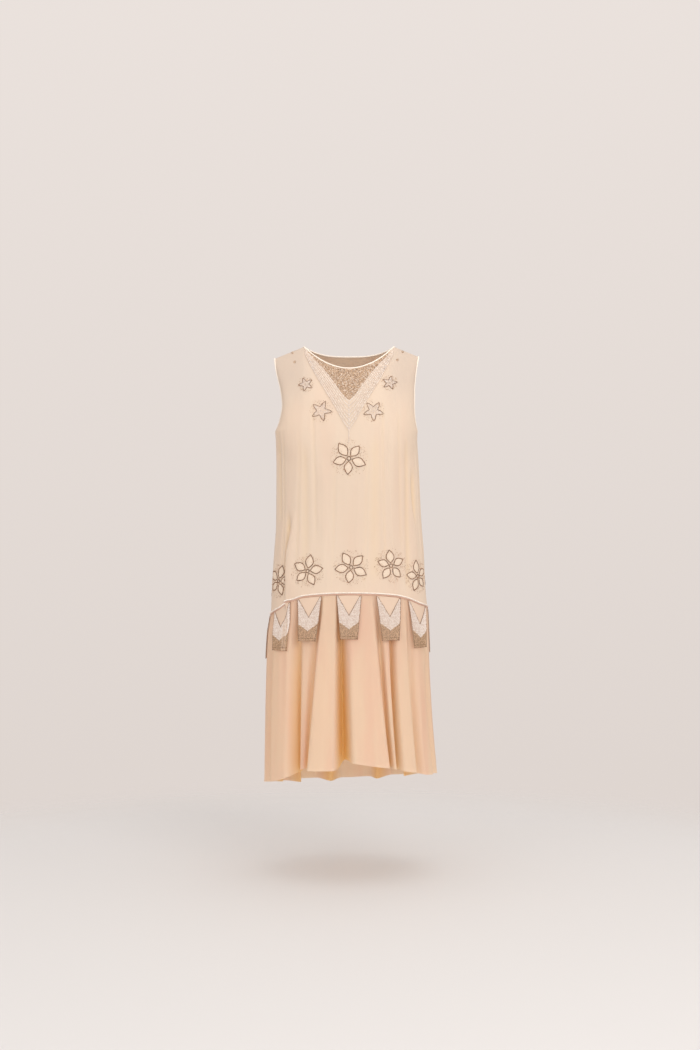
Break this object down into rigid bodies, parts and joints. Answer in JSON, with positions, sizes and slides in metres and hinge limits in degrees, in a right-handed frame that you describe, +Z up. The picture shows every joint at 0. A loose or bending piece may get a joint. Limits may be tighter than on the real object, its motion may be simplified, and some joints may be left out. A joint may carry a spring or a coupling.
{
  "type": "cocktail dress",
  "caption": "sleeveless drop-waist silk evening dress in pale peach, with a beaded V neck, beaded flowers, hanging hip tabs and a flared flounce",
  "frame": {"origin": "between the two neck points, at the height of the shoulders, where the wearer's shoulders hold the dress", "axes": "+Z up, the front faces -Y, +X to the viewer's right"},
  "size_m": [0.4301, 0.3563, 1.1071],
  "materials": {
    "peach_silk": "soft matt silk crepe",
    "gold_beads": "small bronze and gold beads",
    "white_beads": "small white glass beads",
    "cream_binding": "rolled silk binding",
    "tab_beads": "beaded silk"
  },
  "bodies": {
    "root": {"front_bodice": "peach_silk", "back_bodice": "peach_silk", "skirt_front": "peach_silk", "skirt_back": "peach_silk", "neck_inset": "gold_beads", "neck_v_band": "white_beads", "neck_binding": "cream_binding", "armhole_binding_left": "cream_binding", "armhole_binding_right": "cream_binding", "hip_piping": "white_beads", "tab_01": "tab_beads", "tab_02": "tab_beads", "tab_03": "tab_beads", "tab_04": "tab_beads", "tab_05": "tab_beads", "tab_06": "tab_beads", "tab_07": "tab_beads", "tab_08": "tab_beads", "tab_09": "tab_beads", "tab_10": "tab_beads"}
  },
  "joints": []
}
